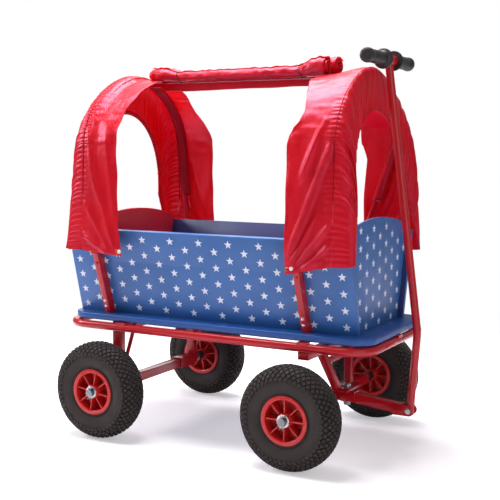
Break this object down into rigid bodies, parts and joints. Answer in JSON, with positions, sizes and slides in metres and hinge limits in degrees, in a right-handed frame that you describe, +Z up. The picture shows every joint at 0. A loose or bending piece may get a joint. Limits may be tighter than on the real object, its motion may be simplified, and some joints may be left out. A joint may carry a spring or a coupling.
{
  "type": "hand-pulled wagon",
  "caption": "Hand-pulled children's wagon with a panelled box body, a cloth canopy over two hoops, air tyres and a steered front axle with a folding pull handle.",
  "frame": {"origin": "on the floor, under the middle of the whole wagon's outline", "axes": "+X forwards to the pull handle, +Y to the wagon's left, +Z up"},
  "size_m": [0.9663, 0.65, 1.017],
  "materials": {
    "red_enamel": "glossy red powder coat",
    "blue_star_board": "satin blue coating with a printed pattern of white stars on the outside",
    "red_board": "satin red coating",
    "red_nylon": "woven nylon with a slight sheen",
    "black_tyre": "matte, with moulded tread",
    "red_plastic": "moulded",
    "black_plastic": "moulded grip",
    "zinc_steel": "bright zinc plate",
    "dark_steel": "plain steel",
    "hoop_steel": "plain tube"
  },
  "bodies": {
    "wagon": {"frame_ring": "red_enamel", "front_cross_member": "red_enamel", "rear_cross_member": "red_enamel", "rear_bracket_left": "red_enamel", "rear_bracket_right": "red_enamel", "rear_brace_left": "red_enamel", "rear_brace_right": "red_enamel", "rear_axle_beam": "red_enamel", "axle_saddle_left": "red_enamel", "axle_saddle_right": "red_enamel", "rear_axle": "dark_steel", "hub_washer_rear_left": "zinc_steel", "hub_washer_rear_right": "zinc_steel", "deck_board": "blue_star_board", "side_panel_left": "blue_star_board", "side_panel_right": "blue_star_board", "front_panel": "blue_star_board", "rear_panel": "red_board", "upright_front_left": "red_enamel", "upright_front_right": "red_enamel", "upright_rear_left": "red_enamel", "upright_rear_right": "red_enamel", "upright_bolt_front_left": "zinc_steel", "upright_bolt_front_right": "zinc_steel", "upright_bolt_rear_left": "zinc_steel", "upright_bolt_rear_right": "zinc_steel", "head_plate": "red_enamel", "front_strut_left": "red_enamel", "front_strut_right": "red_enamel", "strut_tie_bar": "red_enamel"},
    "steering": {"front_axle_beam": "red_enamel", "front_axle": "dark_steel", "drawbar": "red_enamel", "thrust_washer": "dark_steel", "kingpin_bolt": "zinc_steel", "kingpin_nut": "dark_steel", "pivot_bolt": "zinc_steel", "hub_washer_front_left": "zinc_steel", "hub_washer_front_right": "zinc_steel"},
    "handle": {"handle_tube": "red_enamel", "t_bar": "red_enamel", "grip_left": "black_plastic", "grip_right": "black_plastic"},
    "canopy": {"hoop_front": "hoop_steel", "hoop_rear": "hoop_steel", "ridge_bar": "hoop_steel", "ridge_band": "red_nylon", "side_cloth_roll_left": "red_nylon", "side_cloth_roll_right": "red_nylon", "front_cover": "red_nylon", "rear_cover": "red_nylon"},
    "front_left_wheel": {"tyre_front_left": "black_tyre", "rim_front_left": "red_plastic"},
    "front_right_wheel": {"tyre_front_right": "black_tyre", "rim_front_right": "red_plastic"},
    "rear_left_wheel": {"tyre_rear_left": "black_tyre", "rim_rear_left": "red_plastic"},
    "rear_right_wheel": {"tyre_rear_right": "black_tyre", "rim_rear_right": "red_plastic"}
  },
  "joints": [
    {"name": "steering_swivel", "type": "hinge", "parent": "wagon", "child": "steering", "pos_m": [0.28607, 0, 0.15], "axis": [0, 0, 1], "range_deg": [-28, 28]},
    {"name": "handle_fold", "type": "hinge", "parent": "steering", "child": "handle", "pos_m": [0.45957, 0, 0.1115], "axis": [0, 1, 0], "range_deg": [0, 98]},
    {"name": "canopy_lift", "type": "slide", "parent": "wagon", "child": "canopy", "axis": [0, 0, 1], "range_m": [0, 0.045]},
    {"name": "front_left_wheel_spin", "type": "hinge", "parent": "steering", "child": "front_left_wheel", "pos_m": [0.25487, 0.2754, 0.13], "axis": [0, 1, 0], "continuous": true},
    {"name": "front_right_wheel_spin", "type": "hinge", "parent": "steering", "child": "front_right_wheel", "pos_m": [0.25487, -0.2754, 0.13], "axis": [0, 1, 0], "continuous": true},
    {"name": "rear_left_wheel_spin", "type": "hinge", "parent": "wagon", "child": "rear_left_wheel", "pos_m": [-0.30973, 0.2754, 0.13], "axis": [0, 1, 0], "continuous": true},
    {"name": "rear_right_wheel_spin", "type": "hinge", "parent": "wagon", "child": "rear_right_wheel", "pos_m": [-0.30973, -0.2754, 0.13], "axis": [0, 1, 0], "continuous": true}
  ]
}
